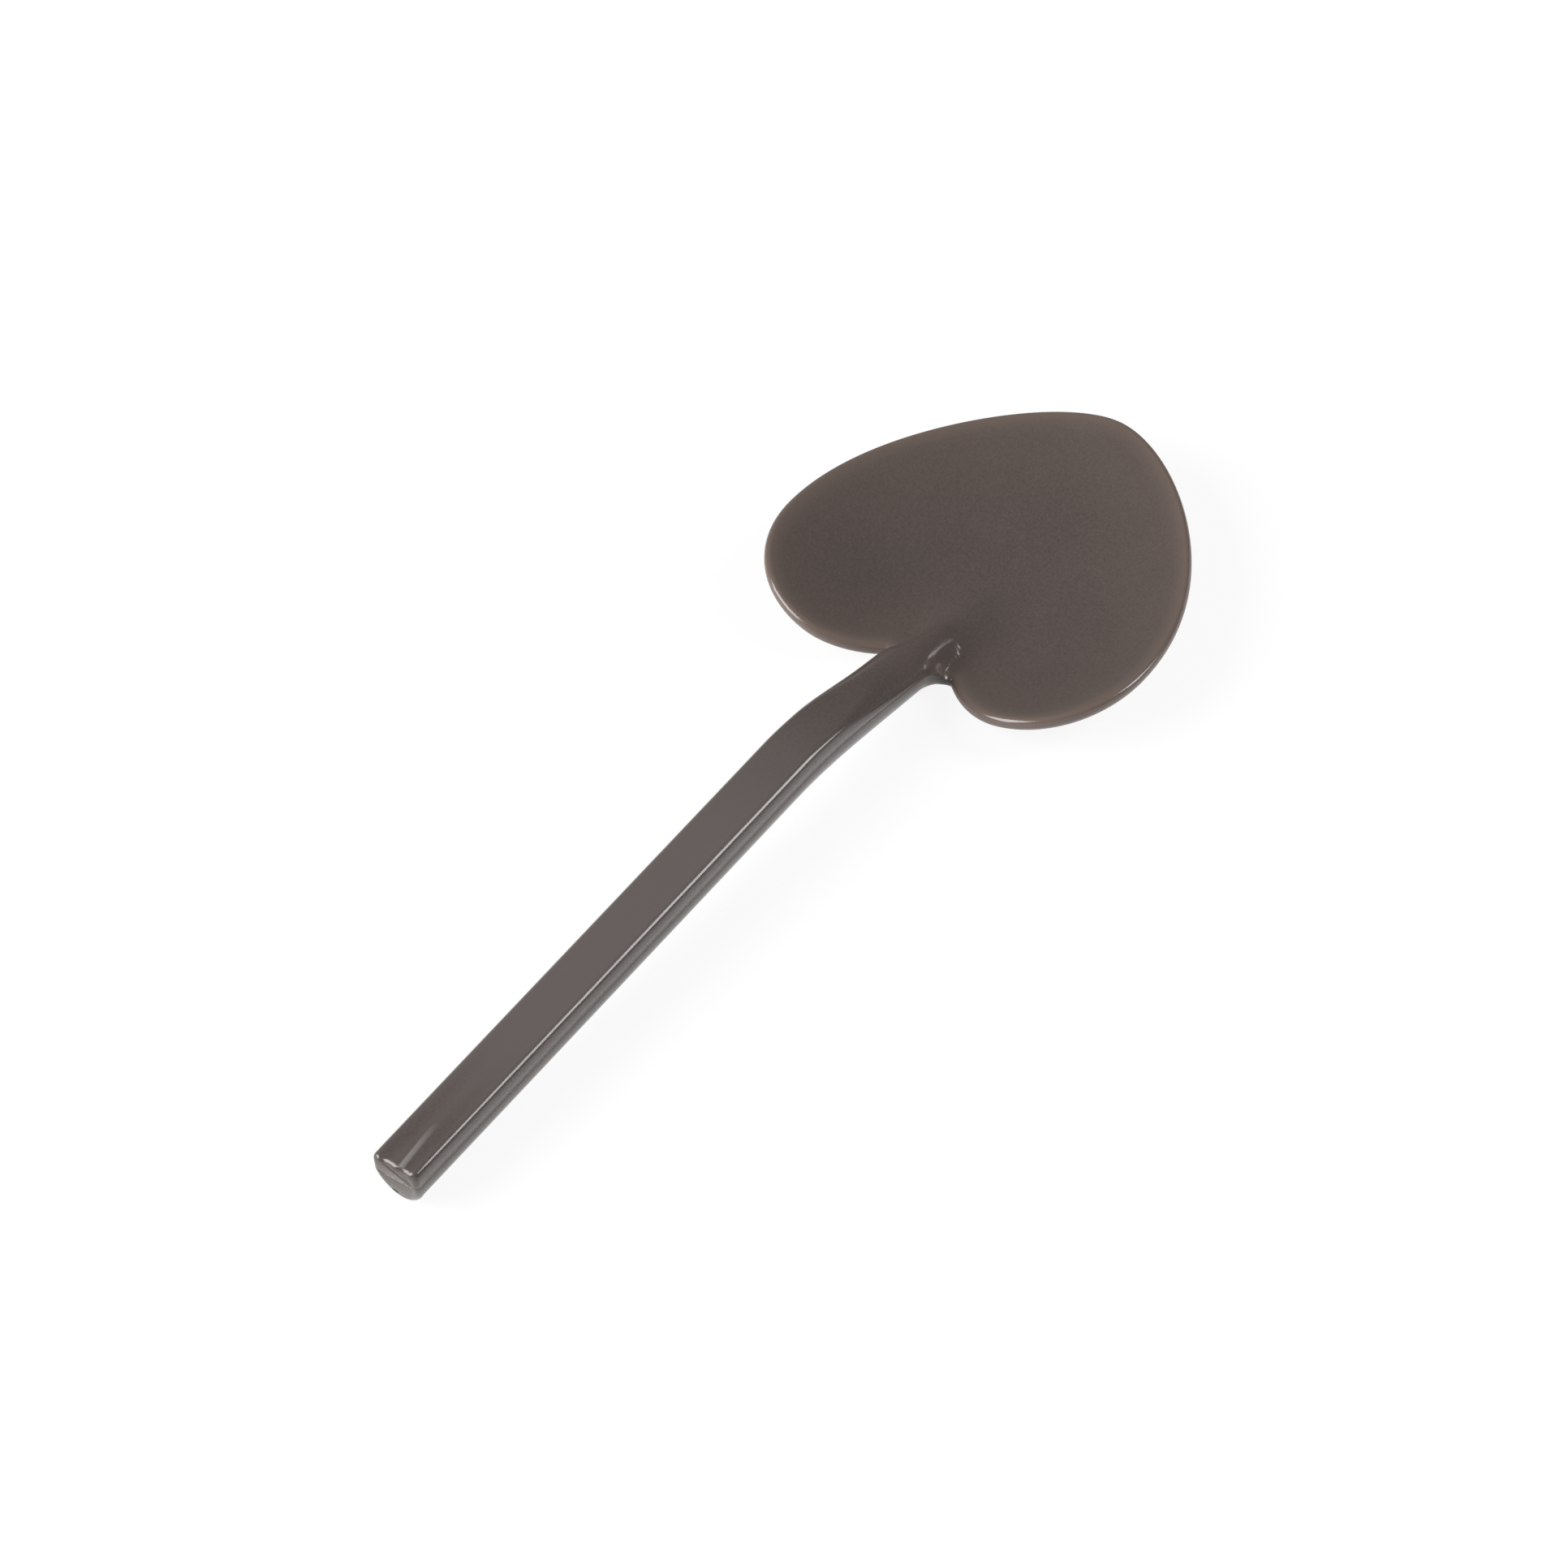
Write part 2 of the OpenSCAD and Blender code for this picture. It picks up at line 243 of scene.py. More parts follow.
def flank(u):
    """Height of a round flank at a share of the half width. It is 1 on the middle line."""
    if u < FLANK_START:
        return math.sqrt(1 - u * u)
    at = math.sqrt(1 - FLANK_START ** 2)
    return at - (u - FLANK_START) * FLANK_START / at


def ridge_base(x):
    """Where the ridge's flanks come down to: the parting line, and then below the dish."""
    dish = dish_z(Vector((x, HALF))) - BASE_SUNK
    return mix(part_z(x), dish, ease(fillet_side.x - BASE_LEAD, notch.x + BASE_REACH, x))


def face_z(p, side):
    """Height of the spoon's upper (side 1) or lower (side -1) face at a place in plan."""
    across = flank(abs(p.y) / HALF)
    if side > 0:
        base = ridge_base(p.x)
        bar = base + max(LEAST_TOP, part_z(p.x) + top_h(p.x) - base) * across
        blend = mix(NEAR_BLEND, FAR_BLEND, ease(NEAR_X, FAR_X, p.x))
    else:
        bar = keel_z(p.x) + max(WALL, part_z(p.x) - keel_z(p.x)) * (1 - across)
        blend = KEEL_BLEND
    if p.x < BACK_X - BLEND_REACH:
        return bar
    return side * smooth_max(side * (dish_z(p) + side * wall_z(p)), side * bar, blend)


print("floor of the bowl at", round(face_z(Vector((LOW_X, 0)), 1), 2), "mm")

# %% [markdown]
# A cross-section is drawn at each station along the outline. On the handle it is the bar's
# own section, a flat top with rounded long edges over a keel that is nearly an ellipse. On
# the bowl it is a rib: a half round rim, and then the two faces of the wall to the middle
# line. In between, the round edge shrinks from half the bar's width to the rim's radius.
#
# A station is a place on the outline, the direction inward, the rib's end on the middle line,
# and the share that it belongs to the bowl, from 0 to 1.

# %% Draw a quarter of a cross-section
QUARTER = 22              # points from the parting line to the middle line
RIM_POINTS = 9            # how many of them go round the rim
LIP = 0.06                # half width of the parting line's groove
LEAST_SIDE = 0.12         # least height of the bar's upright side
DOME_DELAY = 5            # the top starts to dome this far past the bend
DOME_LEAD = 2             # and is a full dome this far behind the lobes
SLOPE_STEP = 0.05         # half distance over which a face's slope is measured
FAN_BEND = 0.35           # a rib's handle points straight in, and is this share of its length


def top_profile(x, u):
    """Height of the bar's top at the share u of its half width."""
    dome = ease(BEND_X + DOME_DELAY, BACK_X - DOME_LEAD, x)
    wide = mix(EDGE_ROUND / HALF, 1, dome)
    high = mix(EDGE_ROUND, top_h(x) - LEAST_SIDE, dome) / top_h(x)
    v = max(0.0, (u - (1 - wide)) / wide)
    return 1 - high + high * math.sqrt(max(0.0, 1 - v * v))


def keel_profile(u):
    """Depth of the keel at the share u of its half width."""
    return max(0.0, 1 - u ** KEEL_POWER) ** (1 / KEEL_POWER)


def bar_station(x):
    """Station on the straight side of the bar."""
    return Vector((x, HALF)), Vector((0, -1)), x, 0.0


def quarter(station, side):
    """Points from the parting line to the middle line, above (side 1) or below (side -1)."""
    place, inward, axis_x, bowl = station
    start = mix(part_z(place.x), dish_z(place), bowl)
    radius = mix(HALF, RIM, math.sqrt(bowl))
    centre = place + radius * inward
    step = SLOPE_STEP * inward
    slope = (face_z(centre + step, side) - face_z(centre - step, side)) / (2 * SLOPE_STEP)
    high = face_z(centre, side) - start - slope * radius
    end = Vector((axis_x, 0))
    handle = centre + FAN_BEND * (end - centre).length * inward
    points = [Vector((place.x, place.y, start + side * LIP))]
    for j in range(1, QUARTER + 1):
        bar_share = (j - 1) / (QUARTER - 1) if side > 0 else j / QUARTER
        share = mix(bar_share, j / RIM_POINTS, bowl)
        if share <= 1:
            turn = share * math.pi / 2
            u = math.cos(turn)
            bar = top_profile(axis_x, u) if side > 0 else keel_profile(u)
            depth = radius * (1 - u)
            spot = place + depth * inward
            z = start + high * mix(bar, math.sin(turn), bowl) + slope * depth
        else:
            t = (share - 1) / (mix(1, QUARTER / RIM_POINTS, bowl) - 1)
            spot = (1 - t) ** 2 * centre + 2 * t * (1 - t) * handle + t * t * end
            z = face_z(spot, side)
        points.append(Vector((spot.x, spot.y, z)))
    return points


at_bend = [round(p.z, 2) for p in quarter(bar_station(BEND_X), 1)]
print("heights of the upper quarter at the bend:", at_bend)

# %% [markdown]
# The melt shrank most where the bar is thickest, and left two shallow hollows side by side in
# the top of its end. They break the highlight there into short lines.

# %% Sink two hollows into the end of the bar
HOLLOW_APART = 2.7        # between the middles of the two hollows
HOLLOW_DEEP = 0.10
HOLLOW_LONG = 8.0
HOLLOW_EDGE_FROM = 1.5    # they run out between these two distances from the middle line
HOLLOW_EDGE_TO = 2.6


def hollow(y):
    """Share of its full depth that a hollow has at a place across the bar."""
    wave = 0.5 - 0.5 * math.cos(2 * math.pi * y / HOLLOW_APART)
    return wave * (1 - ease(HOLLOW_EDGE_FROM, HOLLOW_EDGE_TO, abs(y)))


def sunk(p):
    """Depth of the hollows at a place."""
    return HOLLOW_DEEP * hollow(p.y) * (1 - ease(TAIL_X, TAIL_X + HOLLOW_LONG, p.x))


print("depth in the middle of a hollow:", round(sunk(Vector((TAIL_X, HOLLOW_APART / 2))), 3), "mm")

# %% [markdown]
# Four quarters make a closed ring. At the parting line one point is set in, for the fine
# groove that the two halves of the mould leave.

# %% Draw a whole cross-section
GROOVE = 0.045            # depth of the parting line's groove


def flipped(points):
    """The same points on the right side."""
    return [Vector((p.x, -p.y, p.z)) for p in points]


def section(station, hollows=1.0):
    """Closed ring: left parting line, over the top, right parting line, and back beneath."""
    place, inward, _, bowl = station
    groove = place + GROOVE * (1 - bowl) * inward
    left = [Vector((groove.x, groove.y, mix(part_z(place.x), dish_z(place), bowl)))]
    over, under = quarter(station, 1), quarter(station, -1)
    for p in over[1:]:
        p.z -= hollows * sunk(p)
    return (left + over + flipped(over[-2::-1]) + flipped(left)
            + flipped(under) + under[-2::-1])


print("each ring has", len(section(bar_station(0))), "points")

# %% [markdown]
# The stations run along the handle, round the fillet of the notch, round the lobe and the
# cheek, and along the front to the tip. Their ribs fan out, so that no two of them cross.

# %% Place the stations
END_CLEAR = 2.2           # the first station stands clear of the end's own rings
END_STEP = 0.4            # the next ones follow the hollows closely
END_STEPS = 10
BAR_RUN = 6               # from here on they are far apart
BAR_STEPS = 11
BEND_LEAD = 1             # and from this far before the bend they are close again
NECK_STEPS = 37
FILLET_STEPS, LOBE_STEPS, CHEEK_STEPS, FRONT_STEPS = 18, 12, 26, 44
FAN_NOTCH, FAN_LOBE, FAN_CHEEK = -4.3, -0.8, 3.2    # ends of ribs, from the dish's low place
FAN_TIP = -12                                       # end of the last rib, from the tip
TIP_CROWD = 1.25          # the last ribs crowd toward the tip


def steps(n):
    """The shares from 1 / n to 1."""
    return [(i + 1) / n for i in range(n)]


def fan(curve, ts, axis_from, axis_to, share=lambda i: 1.0):
    """Stations along a curve, with their ribs' ends spread along the middle line."""
    made = []
    for i, t in zip(steps(len(ts)), ts):
        onward = heading(curve, t)
        made.append((bezier(curve, t), Vector((onward.y, -onward.x)),
                     mix(axis_from, axis_to, i), share(i)))
    return made


bar_xs = [TAIL_X + END_CLEAR + END_STEP * i for i in range(END_STEPS)]
bar_xs += [mix(TAIL_X + BAR_RUN, BEND_X - BEND_LEAD, i / BAR_STEPS) for i in range(BAR_STEPS + 1)]
bar_xs += [mix(BEND_X - BEND_LEAD, fillet_side.x, i / NECK_STEPS) for i in range(1, NECK_STEPS)]
stations = [bar_station(x) for x in bar_xs]
stations += fan(fillet_curve, steps(FILLET_STEPS), fillet_side.x, LOW_X + FAN_NOTCH,
                lambda i: ease(0, 1, i))
stations += fan(lobe_curve, [mix(fillet_t, 1, t) for t in steps(LOBE_STEPS)],
                LOW_X + FAN_NOTCH, LOW_X + FAN_LOBE)
stations += fan(cheek_curve, steps(CHEEK_STEPS), LOW_X + FAN_LOBE, LOW_X + FAN_CHEEK)
stations += fan(front_curve, [1 - (1 - t) ** TIP_CROWD for t in steps(FRONT_STEPS)],
                LOW_X + FAN_CHEEK, TIP_X + FAN_TIP)
print(len(stations), "stations")

# %% [markdown]
# The end of the handle is rounded all round. Its face leans in on the way down, and more so
# below the parting line, where that lets the moulding leave its mould. A few rings that
# shrink by a quarter turn make the rounding. The hollows draw the top edge in a little.

# %% Round the end of the handle
END_RINGS = 8
SCALLOP_DEEP = 0.15       # how far the hollows draw the top edge in
SCALLOP_FROM = 0.6        # that starts at this height above the parting line
SCALLOP_TO = 1.6          # and is in full at this one


def end_ring(turn):
    """The end's ring at a turn from 0, the face, to a quarter, where the bar goes on."""
    inset = 1 - math.sin(turn)
    z = part_z(TAIL_X)
    ring = []
    for p in section(bar_station(TAIL_X), math.sin(turn)):
        edge = END_TOP_ROUND / BAR_TOP if p.z > z else END_KEEL_ROUND / BAR_KEEL
        up = (p.z - z) * (1 - inset * edge)
        lean = (max(0, BAR_TOP - END_TOP_ROUND - max(0, up)) * math.tan(math.radians(END_LEAN))
                + max(0, -up) * math.tan(math.radians(KEEL_LEAN))
                + SCALLOP_DEEP * hollow(p.y) * ease(SCALLOP_FROM, SCALLOP_TO, up))
        ring.append(Vector((TAIL_X + END_ROUND * (1 - math.cos(turn)) + lean,
                            p.y * (1 - inset * END_ROUND / HALF), z + up)))
    return ring


rings = [end_ring(math.pi / 2 * i / END_RINGS) for i in range(END_RINGS + 1)]
rings += [section(station) for station in stations]
print(len(rings), "rings")

# %% [markdown]
# The skin starts as one circle of vertices. Each ring is an extrusion of the one before it,
# moved to its cross-section, as a loft is built by hand.

# %% Loft the skin
def loft(mesh, loops):
    """Joins the loops into a tube, and returns the vertices of the first one."""
    verts = bmesh.ops.create_circle(mesh, segments=len(loops[0]), radius=1)["verts"]
    for v, p in zip(verts, loops[0]):
        v.co = p
    first = list(verts)
    edges = list(mesh.edges)
    for loop in loops[1:]:
        made = bmesh.ops.extrude_edge_only(mesh, edges=edges)["geom"]
        new = {g for g in made if isinstance(g, bmesh.types.BMVert)}
        verts = [next(e.other_vert(v) for e in v.link_edges if e.other_vert(v) in new)
                 for v in verts]
        for v, p in zip(verts, loop):
            v.co = p
        edges = [g for g in made if isinstance(g, bmesh.types.BMEdge)
                 and g.verts[0] in new and g.verts[1] in new]
    return first


skin = bmesh.new()
end_verts = loft(skin, rings)
print(len(skin.faces), "faces after the loft")

# %% [markdown]
# Two caps close the end, one above the parting line and one below, with the line's groove
# between them. At the tip the left and right halves meet, so merging doubles zips them
# together. A cut at table height gives the small flat that the bowl rests on.

# %% Close the end, the tip and the foot
CAP_INSET = 0.09          # half width of the groove across the end face
CAP_GROOVE = 0.13         # its depth
MERGE_WITHIN = 0.002      # closer points than this are one
ON_PLANE = 1e-5           # closer ones to the table than this lie on it

half = len(end_verts) // 2
caps = []
for loop in (end_verts[:half + 1], end_verts[half:] + end_verts[:1]):
    caps += bmesh.ops.contextual_create(skin, geom=loop)["faces"]
bmesh.ops.inset_individual(skin, faces=caps, thickness=CAP_INSET)
for v in (end_verts[0], end_verts[half]):
    v.co.x += CAP_GROOVE
bmesh.ops.remove_doubles(skin, verts=skin.verts[:], dist=MERGE_WITHIN)
bmesh.ops.bisect_plane(skin, geom=skin.verts[:] + skin.edges[:] + skin.faces[:], dist=ON_PLANE,
                       plane_co=(0, 0, 0), plane_no=(0, 0, -1), clear_outer=True)
cut_edges = [e for e in skin.edges if e.is_boundary]
foot = bmesh.ops.holes_fill(skin, edges=cut_edges, sides=0)["faces"]
bmesh.ops.recalc_face_normals(skin, faces=skin.faces[:])
open_edges = sum(not e.is_manifold for e in skin.edges)
print("foot faces:", len(foot), " open edges:", open_edges,
      " volume mm3:", round(skin.calc_volume(), 1))

# %% [markdown]
# Light gets a little way into this plastic. Where the wall ends in its thin rim, more of it
# comes back out, so the rim is paler and warmer than the middle of the bowl. The finish needs
# to know where the rim is, so each vertex keeps a number that falls off with its distance
# from the outline: quickly at the rounding of the rim, and slowly into the bowl.

# %% Mark the thin rim
RIM_GLOW_MM = 1.3         # where the wall rounds off into its rim
RIM_REACH_MM = 7.0        # how far the warmer tone reaches into the bowl
REACH_SHARE = 0.25        # what that slow part has in the mark
RIM_FROM = 0.9            # stations with less of the bowl than this aren't on the rim
OUT_OF_REACH = 1000       # height that those are put at, so that no vertex is near them

outline_tree = KDTree(2 * len(stations))
for i, (place, _, _, bowl) in enumerate(stations):
    for k, y in enumerate((place.y, -place.y)):
        z = 0 if bowl > RIM_FROM else OUT_OF_REACH
        outline_tree.insert(Vector((place.x, y, z)), 2 * i + k)
outline_tree.balance()
glow_layer = skin.verts.layers.float.new("thin_rim")
for v in skin.verts:
    distance = outline_tree.find(Vector((v.co.x, v.co.y, 0)))[2]
    v[glow_layer] = ((1 - REACH_SHARE) * math.exp(-(distance / RIM_GLOW_MM) ** 2)
                     + REACH_SHARE * math.exp(-(distance / RIM_REACH_MM) ** 2))
print(sum(v[glow_layer] > 0.5 for v in skin.verts), "vertices are within the pale rim")

# %% [markdown]
# The flat top of the bar is a little paler than the bowl, as if a light stood close to it.
# A lamp there would show up in the bowl too, so that light is painted instead: the plastic
# gets a paler tone in this place, which is painted light. A second number marks it: where the
# normal points up, fading out round the bend, and weaker at the end, most of all in the hollows.

# %% Mark where light is painted on the top of the bar
UP_FROM, UP_TO = 0.75, 0.95           # Z of the normal between which the mark comes in
BAR_FADE = 16.0                       # it fades from this far before the bend to as far past it
END_FROM, END_TO = 4, 22              # distances from the end between which it comes to full
END_SHARE = 0.5                       # what it has at the end
HOLLOW_SHARE = 0.4                    # what a hollow takes from that

# Painted light: this number says where the paler colour that stands in for a nearby light goes.
painted_light_layer = skin.verts.layers.float.new("painted_bar_light")
for v in skin.verts:
    v[painted_light_layer] = (ease(UP_FROM, UP_TO, v.normal.z)
                    * (1 - ease(BEND_X - BAR_FADE, BEND_X + BAR_FADE, v.co.x))
                    * mix(END_SHARE - HOLLOW_SHARE * hollow(v.co.y), 1,
                          ease(TAIL_X + END_FROM, TAIL_X + END_TO, v.co.x)))
print(sum(v[painted_light_layer] > 0.5 for v in skin.verts), "vertices are on the bar's top")

# %% [markdown]
# Blender measures in metres, so the mesh is scaled down once at the end. Shading is smooth
# everywhere but at the foot's edge. The piece stands in for the CAD solid and rides on its body.

# %% Make the spoon's object
FACES_DOWN = 1e-3         # how near a normal is to straight down on the foot
AT_TABLE = 1e-6           # how near the foot is to the table, in metres

bmesh.ops.scale(skin, vec=(MM, MM, MM), verts=skin.verts[:])
for face in skin.faces:
    face.smooth = True
for edge in skin.edges:
    on_foot = [abs(f.normal.z + 1) < FACES_DOWN and f.calc_center_median().z < AT_TABLE
               for f in edge.link_faces]
    edge.smooth = on_foot.count(True) != 1
spoon_mesh = bpy.data.meshes.new("spoon_skin")
skin.to_mesh(spoon_mesh)
skin.free()
spoon = bpy.data.objects.new("spoon_skin", spoon_mesh)
bpy.context.collection.objects.link(spoon)
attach(spoon, "root")
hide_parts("spoon")
print("spoon measures", [round(d / MM, 2) for d in spoon.dimensions], "mm")

# %% [markdown]
# Colours are written as sRGB hex values, as a colour picker shows them. One helper turns them
# into Blender's linear values, and another adds a node and connects it.

# %% A helper for colours and a helper for nodes
def linear(hex_colour):
    """Turns an sRGB hex colour such as #808080 into the linear values that Blender uses."""
    values = [int(hex_colour[i:i + 2], 16) / 255 for i in (1, 3, 5)]
    return [v / 12.92 if v <= 0.04045 else ((v + 0.055) / 1.055) ** 2.4 for v in values] + [1.0]


def node(tree, kind, inputs=None, **settings):
    """Adds a node. inputs gives each socket a value, or the socket that feeds it."""
    made = tree.nodes.new(kind)
    for name, value in settings.items():
        setattr(made, name, value)
    for name, value in (inputs or {}).items():
        if isinstance(value, bpy.types.NodeSocket):
            tree.links.new(value, made.inputs[name])
        else:
            made.inputs[name].default_value = value
    return made


print("taupe in linear values:", [round(v, 3) for v in linear("#4a423f")])

# %% [markdown]
# The real material is polystyrene, injection moulded in a polished mould: a dense taupe
# colour under a clear gloss. The gloss is not perfect. Very shallow waves, left as the plastic
# shrank, make the long highlights wander, and a grain too fine to feel breaks the colour up.
# A colour mix takes its factor at socket 0, and its two colours at sockets 6 and 7.

# %% Moulded polystyrene: a dense colour, grained and slightly cloudy
PLASTIC = "#4a423f"       # in the thick handle and the middle of the bowl
PLASTIC_PALE = "#534b47"  # the same, where the grain lets more light back out
GRAIN_MM = 0.30           # grain of the pigment, coarser than the real one so that it shows
CLOUD_MM = 7.0            # slow drift of the colour, from the flow in the mould
CLOUD_SHARE = 0.25        # what the drift has in the colour, and the grain has the rest
DARK_UP_TO = 0.35         # noise values that give the first colour
PALE_FROM = 0.65          # and the second

plastic = bpy.data.materials.new("polystyrene_moulded_gloss_taupe")
plastic.use_nodes = True
tree = plastic.node_tree
tree.nodes.clear()
where = node(tree, "ShaderNodeTexCoord").outputs["Object"]
grain = node(tree, "ShaderNodeTexNoise", {"Vector": where, "Scale": 1 / (GRAIN_MM * MM),
                                          "Detail": 2.0, "Roughness": 0.6})
cloud = node(tree, "ShaderNodeTexNoise", {"Vector": where, "Scale": 1 / (CLOUD_MM * MM),
                                          "Detail": 3.0})
both = node(tree, "ShaderNodeMix", {"Factor": CLOUD_SHARE, "A": grain.outputs["Fac"],
                                    "B": cloud.outputs["Fac"]})
spread = node(tree, "ShaderNodeMapRange", {"Value": both.outputs[0], "From Min": DARK_UP_TO,
                                           "From Max": PALE_FROM})
body = node(tree, "ShaderNodeMix", {0: spread.outputs[0], 6: linear(PLASTIC),
                                    7: linear(PLASTIC_PALE)}, data_type="RGBA")
print("grain at", GRAIN_MM, "mm and clouds at", CLOUD_MM, "mm")

# %% [markdown]
# The mark on the bar's top mixes in its paler colour, which is painted light. At the very end
# a pale streak lies on it, which is a painted highlight: a light's reflection in the top face.
# The streak runs slightly askew, so its middle drifts with X, and its strength is highest at the
# end.

# %% Painted light on the bar's top, and its painted highlight streak
PLASTIC_BAR_PAINTED_LIGHT = "#5b5452"   # painted light: the bar's top is made paler to stand in for a light close to it
PLASTIC_PAINTED_HIGHLIGHT = "#b8b5b4"  # painted highlight: the pale streak, a light's reflection in the top face
STREAK_CORE_MM = 0.17     # half width that has the full colour
STREAK_EDGE_MM = 0.40     # half width where it ends
STREAK_FADED_X = -57.0    # where its strength is down to nothing
STREAK_FROM_X, STREAK_FROM_Y = -63.25, -0.68    # two places on its middle line
STREAK_TO_X, STREAK_TO_Y = -57.9, -0.30

painted_light_mark = node(tree, "ShaderNodeAttribute", attribute_name="painted_bar_light")
# Painted light: mixes the paler colour into the bar's top.
bar = node(tree, "ShaderNodeMix", {0: painted_light_mark.outputs["Fac"], 6: body.outputs[2],
                                   7: linear(PLASTIC_BAR_PAINTED_LIGHT)}, data_type="RGBA")
spot = node(tree, "ShaderNodeSeparateXYZ", {"Vector": where}).outputs
along = node(tree, "ShaderNodeMapRange",
             {"Value": spot["X"], "From Min": TAIL_X * MM, "From Max": STREAK_FADED_X * MM,
              "To Min": 1.0, "To Max": 0.0})
drift = node(tree, "ShaderNodeMapRange",
             {"Value": spot["X"], "From Min": STREAK_FROM_X * MM, "From Max": STREAK_TO_X * MM,
              "To Min": STREAK_FROM_Y * MM, "To Max": STREAK_TO_Y * MM})
aside = node(tree, "ShaderNodeMath", {0: spot["Y"], 1: drift.outputs[0]},
             operation="SUBTRACT")
beside = node(tree, "ShaderNodeMath", {0: aside.outputs[0]}, operation="ABSOLUTE")
streak = node(tree, "ShaderNodeMapRange",
              {"Value": beside.outputs[0], "From Min": STREAK_CORE_MM * MM,
               "From Max": STREAK_EDGE_MM * MM, "To Min": 1.0, "To Max": 0.0})
streak_part = node(tree, "ShaderNodeMath", {0: streak.outputs[0], 1: along.outputs[0]},
                   operation="MULTIPLY")
streak_top = node(tree, "ShaderNodeMath", {0: streak_part.outputs[0], 1: painted_light_mark.outputs["Fac"]},
                  operation="MULTIPLY")
# Painted highlight: mixes the pale streak into the colour.
painted_highlight = node(tree, "ShaderNodeMix", {0: streak_top.outputs[0], 6: bar.outputs[2],
                                    7: linear(PLASTIC_PAINTED_HIGHLIGHT)}, data_type="RGBA")
print("the streak is up to", 2 * STREAK_EDGE_MM, "mm wide")

# %% [markdown]
# Low on the end face is the torn spot where the melt came in. It is dark and has next to no
# gloss. Round the bowl, the mark of the thin rim mixes in a warmer colour.

# %% Colour of the gate's spot and the thin rim
PLASTIC_GATE = "#1f1b1a"  # torn plastic, which keeps the light
PLASTIC_RIM = "#665952"   # in the thin rim, warmer because light gets through it
GATE_MM = Vector((-62.83, 0.8, 1.1))      # its middle
GATE_CORE_MM = 0.30       # radius that has the full colour
GATE_EDGE_MM = 0.55       # radius where it ends

from_gate = node(tree, "ShaderNodeVectorMath", {0: where, 1: GATE_MM * MM}, operation="DISTANCE")
gate_mark = node(tree, "ShaderNodeMapRange",
                 {"Value": from_gate.outputs["Value"], "From Min": GATE_CORE_MM * MM,
                  "From Max": GATE_EDGE_MM * MM, "To Min": 1.0, "To Max": 0.0})
gate = node(tree, "ShaderNodeMix", {0: gate_mark.outputs[0], 6: painted_highlight.outputs[2],
                                    7: linear(PLASTIC_GATE)}, data_type="RGBA")
rim_mark = node(tree, "ShaderNodeAttribute", attribute_name="thin_rim")
rim = node(tree, "ShaderNodeMix", {0: rim_mark.outputs["Fac"], 6: gate.outputs[2],
                                   7: linear(PLASTIC_RIM)}, data_type="RGBA")
print("the gate's spot is", 2 * GATE_EDGE_MM, "mm wide")

# %% [markdown]
# The gloss comes last: a roughness that the grain varies a little, and two bumps. The waves
# are slow and shallow, and the grain is finer and shallower still.

# %% Gloss from the polished mould
ROUGH_LEAST = 0.16
ROUGH_MOST = 0.20
WAVE_MM = 5.0             # length of the shrink waves
WAVE_DEEP_MM = 0.05
WAVE_STRENGTH = 0.5
GRAIN_DEEP_MM = 0.02
GRAIN_STRENGTH = 0.015    # more would break the highlights up into dashes
GLOSS_LEVEL = 0.5         # Blender's plain value for plastic
TORN_LEVEL = 0.05         # in the gate's spot

wave = node(tree, "ShaderNodeTexNoise", {"Vector": where, "Scale": 1 / (WAVE_MM * MM),
                                         "Detail": 1.0})
gloss = node(tree, "ShaderNodeMapRange", {"Value": grain.outputs["Fac"],
                                          "To Min": ROUGH_LEAST, "To Max": ROUGH_MOST})
waves = node(tree, "ShaderNodeBump", {"Height": wave.outputs["Fac"],
                                      "Strength": WAVE_STRENGTH,
                                      "Distance": WAVE_DEEP_MM * MM})
grains = node(tree, "ShaderNodeBump", {"Height": grain.outputs["Fac"],
                                       "Strength": GRAIN_STRENGTH,
                                       "Distance": GRAIN_DEEP_MM * MM,
                                       "Normal": waves.outputs[0]})
level = node(tree, "ShaderNodeMapRange", {"Value": gate_mark.outputs[0],
                                          "To Min": GLOSS_LEVEL, "To Max": TORN_LEVEL})
surface = node(tree, "ShaderNodeBsdfPrincipled",
               {"Base Color": rim.outputs[2], "Roughness": gloss.outputs[0], "IOR": 1.5,
                "Specular IOR Level": level.outputs[0], "Normal": grains.outputs[0]})
node(tree, "ShaderNodeOutputMaterial", {"Surface": surface.outputs[0]})
spoon_mesh.materials.append(plastic)
print(plastic.name, "has", len(tree.nodes), "nodes")

# %% [markdown]
# The photograph is a product shot on pure white. The floor is a matt white card, and the kind
# of ray that looks at it decides how it shows. To the camera it is nearly all plain white,
# with a small share that takes the shadow. In reflections it shows about half its real light
# and shadow, so the sides of the spoon stay calm. To all other rays it is the plain card.

# %% Floor
WHITE = "#ffffff"
FLOOR_HALF = 1.5          # metres
CAMERA_CARD = 0.1         # share of the lit card that the camera sees
CAMERA_WHITE = 0.9        # share of plain white that it sees
MIRROR_CARD = 0.45        # the same two shares in reflections
MIRROR_WHITE = 0.5

plane = bmesh.new()
bmesh.ops.create_grid(plane, x_segments=1, y_segments=1, size=FLOOR_HALF)
floor_mesh = bpy.data.meshes.new("studio_floor")
plane.to_mesh(floor_mesh)
plane.free()
floor = bpy.data.objects.new("studio_floor", floor_mesh)
bpy.context.collection.objects.link(floor)

